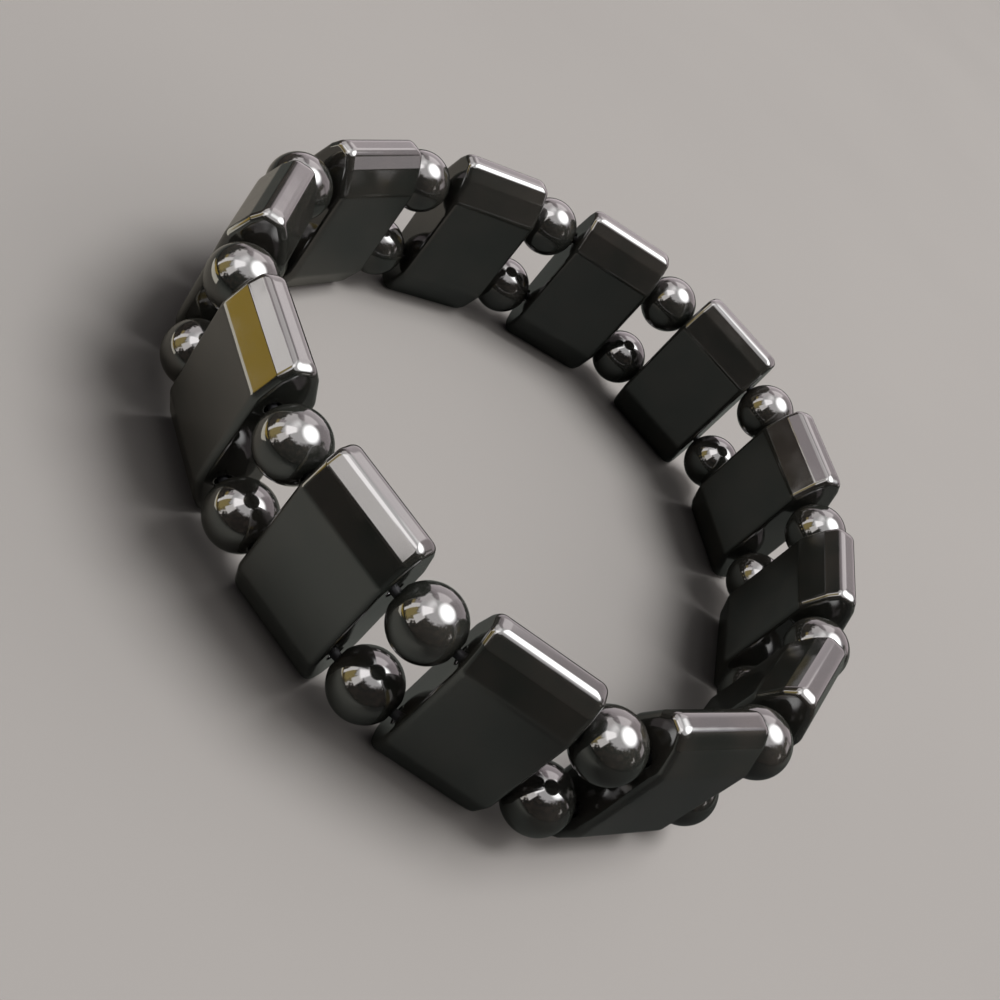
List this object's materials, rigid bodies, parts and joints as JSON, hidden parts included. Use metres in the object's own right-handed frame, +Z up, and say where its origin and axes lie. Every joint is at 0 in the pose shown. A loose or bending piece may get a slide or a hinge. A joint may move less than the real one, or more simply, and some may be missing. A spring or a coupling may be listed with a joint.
{
  "type": "hematite stretch bracelet",
  "caption": "Stretch bracelet of polished hematite: bevelled two-hole tablets alternate with pairs of round beads on two elastic cords, standing on its edge as a closed loop.",
  "frame": {"origin": "on the floor, under the middle of the loop", "axes": "+Z up along the height of the tablets, the way a wrist goes in; +X and +Y across the loop, with tablet_01 on the +X side and the numbers rising counter-clockwise seen from above"},
  "size_m": [0.0672, 0.0662, 0.018],
  "materials": {
    "hematite": "mirror polished, near-black gunmetal grey",
    "elastic": "satin"
  },
  "bodies": {
    "root": {"tablet_01": "hematite", "tablet_02": "hematite", "tablet_03": "hematite", "tablet_04": "hematite", "tablet_05": "hematite", "tablet_06": "hematite", "tablet_07": "hematite", "tablet_08": "hematite", "tablet_09": "hematite", "tablet_10": "hematite", "tablet_11": "hematite", "tablet_12": "hematite", "bead_upper_01": "hematite", "bead_upper_02": "hematite", "bead_upper_03": "hematite", "bead_upper_04": "hematite", "bead_upper_05": "hematite", "bead_upper_06": "hematite", "bead_upper_07": "hematite", "bead_upper_08": "hematite", "bead_upper_09": "hematite", "bead_upper_10": "hematite", "bead_upper_11": "hematite", "bead_upper_12": "hematite", "bead_lower_01": "hematite", "bead_lower_02": "hematite", "bead_lower_03": "hematite", "bead_lower_04": "hematite", "bead_lower_05": "hematite", "bead_lower_06": "hematite", "bead_lower_07": "hematite", "bead_lower_08": "hematite", "bead_lower_09": "hematite", "bead_lower_10": "hematite", "bead_lower_11": "hematite", "bead_lower_12": "hematite", "elastic_cord_upper": "elastic", "elastic_cord_lower": "elastic"}
  },
  "joints": []
}
